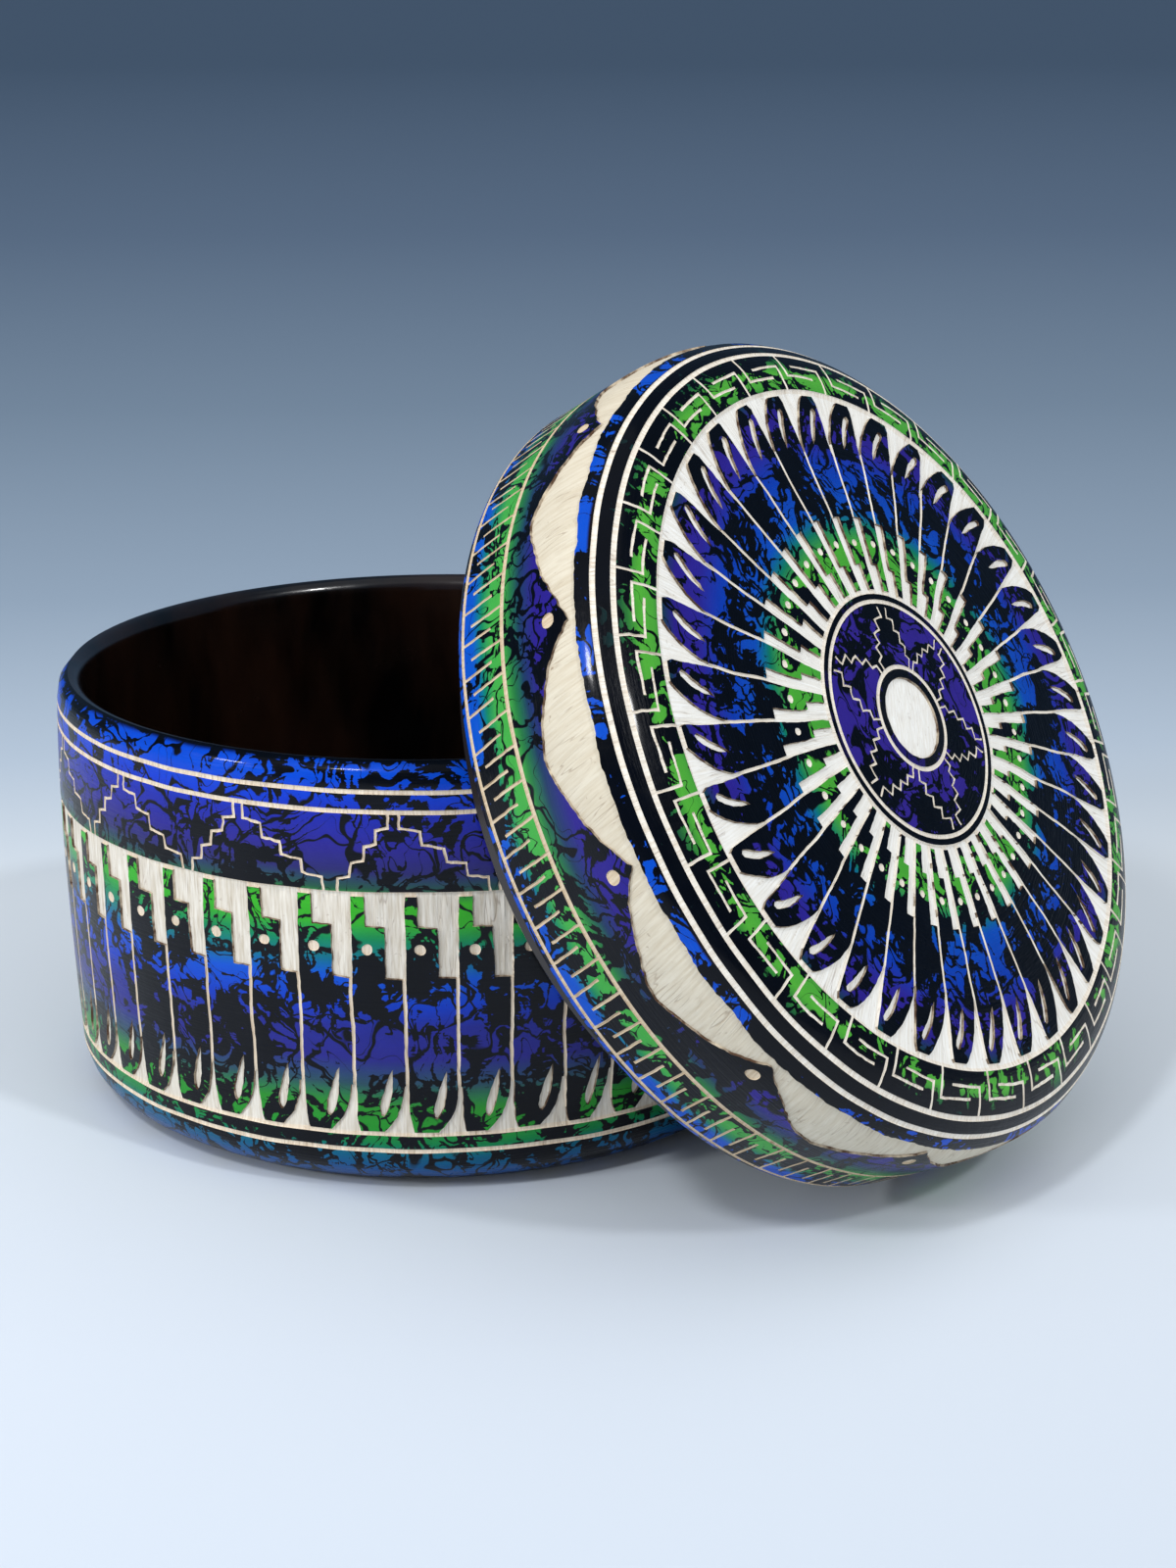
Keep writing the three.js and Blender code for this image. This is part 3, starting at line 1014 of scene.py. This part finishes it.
lidInner = (
    [(67.8, 0), (64.2, 0), (64.2, -7.8), (63.5, -8.5), (61.6, -8.5), (60.9, -7.8), (60.9, 4)]
    + curve((60.9, 4), (66.4, 4), (66.4, 13), steps=8)[1:]
    + [(66.4, 16.8)]
    + ellipsePart((57.4, 20.3), (9, 9), 0, 90, 8)
    + [(40, 29.7), (20, 30.1), (0, 30.45)]
)


# The lid's axis is the joint's; its seat and middle come from the reach of the CAD lid
def lidPlace(node, joint):
    axis = Vector(joint["axis"]).normalized()
    lowest = (axis * axis.z - Vector((0, 0, 1))).normalized()
    beside = axis.cross(lowest)
    points = [v.co for v in node.data.vertices]
    spans = [[p.dot(direction) for p in points] for direction in (lowest, beside, axis)]
    middle = [(min(s) + max(s)) / 2 for s in spans[:2]] + [max(spans[2]) - lidHeight * metresPerMm]
    place = Matrix((lowest, beside, axis)).transposed().to_4x4()
    place.translation = lowest * middle[0] + beside * middle[1] + axis * middle[2]
    return place


def carveLid(lid):
    sheet = makeSheet(lidOuter, -1, lid["skin"])
    domeEnd = int(np.argmax(sheet["radius"]))
    sheet["levels"] = sheet["radius"][:domeEnd], sheet["along"][:domeEnd]
    edge = level(sheet, lid["edgeRadius"])
    sideFrom = edge - 1
    etched = bareClay("etched clay, lid", *lid["clay"], lid["sideClay"], sideFrom)
    lined = bareClay("etched lines, lid", *lid["lineClay"], lid["sideLineClay"], sideFrom)
    lines, fields = [], []
    upper, lower = edge + lid["tickRing"], edge + lid["footRing"]
    rings = [(level(sheet, radius), width) for radius, width in lid["rings"]]
    for middle, width in rings + list(zip((upper, lower), lid["sideRings"])):
        lines += layRing(sheet, middle, width, etched, slow=0.12)
    sides = 48
    discOutline = planPoint(
        sheet, np.arange(sides) * 360 / sides, np.full(sides, lid["discRadius"]))
    fields.append(waver(sheet, discOutline, 0.12, 0.1))

    pitch = 360 / lid["feathers"]
    layFeathers(sheet, etched, lid, lines, fields, pitch, lid["featherDrift"])

    # Stepped figures and keys
    peak, foot = lid["tentTurns"]
    paths = [stepsBetween(side * peak, side * foot, *lid["tentRadii"], lid["tentSteps"], -0.2)
             for side in (-1, 1)]
    tent = [stroke(sheet, lift(sheet, path), lid["tentLine"], 0.8) for path in paths]
    lines += layOut(sheet, tent, etched, lid["tents"], 0.18, 0.3, lid["firstTent"],
                    sway=0.8, creep=0.004, seed=17, drift=lid["tentDrift"])
    key = [stroke(sheet, lift(sheet, path), lid["keyLine"], 1.0) for path in lid["keyPaths"]]
    lines += layOut(sheet, key, etched, lid["keys"], 0.16, 0.4, lid["firstKey"],
                    sway=0.45, creep=0.002, seed=23, drift=lid["keyDrift"])

    # The side: waves with dots between their crests, and two rows of ticks
    count, first, drift = lid["scallops"], lid["firstScallop"], lid["scallopDrift"]
    span = 360 / count / 2
    crest, fall, power = lid["wave"]
    wave = [(u * span, edge + crest - fall * abs(u) ** power) for u in np.linspace(-1, 1, 33)]
    scallop = patch(sheet, [(span, edge), (-span, edge)] + wave, 0.8)
    below, width = lid["crestDot"]
    crestDot = disc(sheet, span, edge + below, width, 16)
    fields += layOut(sheet, [scallop], etched, count, 0.30, 0.6, first, seed=5, drift=drift)
    lines += layOut(sheet, [crestDot], etched, count, 0.12, 0.3, first,
                    sway=0.5, creep=0.002, seed=6, drift=drift)
    half = 180 / lid["ticks"]
    down, up = lid["tickLengths"]
    ticks = [[(0, upper), (1.0, upper + down)], [(half + 1.2, lower), (half + 0.2, lower - up)]]
    ticks = [stroke(sheet, path, lid["tickLine"]) for path in ticks]
    lines += layOut(sheet, ticks, etched, lid["ticks"], 0.14, 0.4, lid["firstTick"],
                    sway=0.35, creep=0.0016, seed=31)

    zones = [(level(sheet, low), level(sheet, high), *rest)
             for low, high, *rest in lid["featherMarks"]]
    low, high, *rest = lid["waveMarks"]
    zones += [lid["discMarks"], (edge + low, edge + high, *rest)]
    clay = carve(sheet, lines, fields, lid, zones, slantFrom=edge)

    # The grain runs straight across the middle disc
    onDisc = clay["alongs"] < lid["discRadius"] + 0.6
    flat = (clay["turns"] * clay["alongs"][:, None])[onDisc]
    (wayX, wayY), across, onward = lid["discGrain"]
    clay["grain"][onDisc] = np.stack([
        flat @ (wayX, wayY) * across, flat @ (-wayY, wayX) * onward, np.zeros(len(flat))], 1)
    addTurned(clay, clay["rings"][0], lidInner, "inside", True)
    bands = [(level(sheet, r), c, k) for r, c, k in lid["bands"]]
    bands += [(edge + d, c, k) for d, c, k in lid["sideBands"]]
    slip = paintedSlip("painted slip, lid", bands, sheet["length"], lid["lowSideShade"])
    place = lidPlace(frame["nodes"]["lid"], frame["joints"][0])
    return buildPiece("carved_lid", clay, slip, etched, lined, place)


carvedLid = carveLid(lidSettings)
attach(carvedLid, "lid")
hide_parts("lid")


# Floor, lamps and world
stageSettings = {
    "reach": 12.0,  # metres from the box to the floor's edges
    "backdrop": [  # metres behind the box, colour; the darkening farther back is painted falloff of light
        (-0.30, (200, 211, 225)), (-0.20, (207, 218, 232)), (-0.12, (215, 225, 238)),
        (-0.03, (217, 227, 238)), (0.10, (211, 221, 231)), (0.20, (180, 196, 214)),
        (0.38, (148, 167, 188)), (0.75, (122, 142, 164)), (1.5, (97, 117, 142)),
        (4.0, (75, 95, 118)),
    ],
    "nearest": 0.5,  # metres in front of the box, where the gradient is laid out from
    "floorGloss": {"Roughness": 0.5, "Specular IOR Level": 0.12},
    "ambient": ((0.98, 0.99, 1.0, 1), 0.64),  # colour and strength of the light all round
    "suns": [  # azimuth, elevation, strength, width in degrees
        (48, 44, 0.68, 5), (-15, 80, 0.28, 70),
    ],
    "panels": [  # place, size, watts
        ((-0.38, -0.63, 0.88), (0.12, 0.12), 3.2), ((-0.94, -0.48, 0.47), (0.16, 0.10), 3.0),
    ],
    "panelAim": (0.02, 0, 0.05),
}


def makeFloor(stage):
    reach, nearest = stage["reach"], stage["nearest"]
    corners = [(-reach, -reach, 0), (reach, -reach, 0), (reach, reach, 0), (-reach, reach, 0)]
    mesh = bpy.data.meshes.new("floor")
    mesh.from_pydata(corners, [], [(0, 1, 2, 3)])
    floor = addObject("floor", mesh)
    # Painted falloff of light: the floor's colour darkens from pale near the box to slate far
    # behind
    # The gradient is laid out by the logarithm of the distance, from 0.1 to 10 metres, so that
    # its near part is fine enough
    n = NodeMaker("studio floor")
    depth = n.make("ShaderNodeSeparateXYZ", {0: n.place()}).outputs["Y"]
    depth = n.calc("MAXIMUM", n.calc("ADD", depth, nearest), 0.1)
    share = n.calc("DIVIDE", n.calc("ADD", n.calc("LOGARITHM", depth, 10.0), 1.0), 2.0)
    stops = [((math.log10(y + nearest) + 1) / 2, colour(*c)) for y, c in stage["backdrop"]]
    mesh.materials.append(n.surface({"Base Color": n.ramp(share, stops), **stage["floorGloss"]}))


def makeLamp(kind, name, energy, facing):
    data = bpy.data.lights.new(name, kind)
    data.energy = energy
    return addObject(name, data, facing)


def makeLamps(stage):
    for azimuth, elevation, strength, width in stage["suns"]:
        a, e = math.radians(azimuth), math.radians(elevation)
        towards = Vector((math.sin(a) * math.cos(e), -math.cos(a) * math.cos(e), math.sin(e)))
        makeLamp("SUN", "sun", strength, -towards).data.angle = math.radians(width)
    for place, size, watts in stage["panels"]:
        lamp = makeLamp("AREA", "panel", watts, Vector(stage["panelAim"]) - Vector(place))
        lamp.location = place
        lamp.data.shape = "RECTANGLE"
        lamp.data.size, lamp.data.size_y = size


# The world lights the scene evenly, and where it is seen it has the backdrop's farthest colour
def makeWorld(stage):
    n = NodeMaker("studio", bpy.data.worlds)
    light, strength = stage["ambient"]
    rays = n.make("ShaderNodeLightPath").outputs
    plain = n.make("ShaderNodeBackground", {0: light, 1: strength})
    seen = n.make("ShaderNodeBackground", {0: colour(*stage["backdrop"][-1][1]), 1: 1})
    share = n.calc("MAXIMUM", rays["Is Camera Ray"], rays["Is Transmission Ray"])
    share = n.calc("MAXIMUM", share, rays["Is Glossy Ray"])
    choose = n.make("ShaderNodeMixShader", {0: share, 1: plain.outputs[0], 2: seen.outputs[0]})
    n.make("ShaderNodeOutputWorld", {0: choose.outputs[0]})
    bpy.context.scene.world = n.owner


makeFloor(stageSettings)
makeLamps(stageSettings)
makeWorld(stageSettings)
bpy.context.scene.view_settings.view_transform = "Standard"
print("stage made")
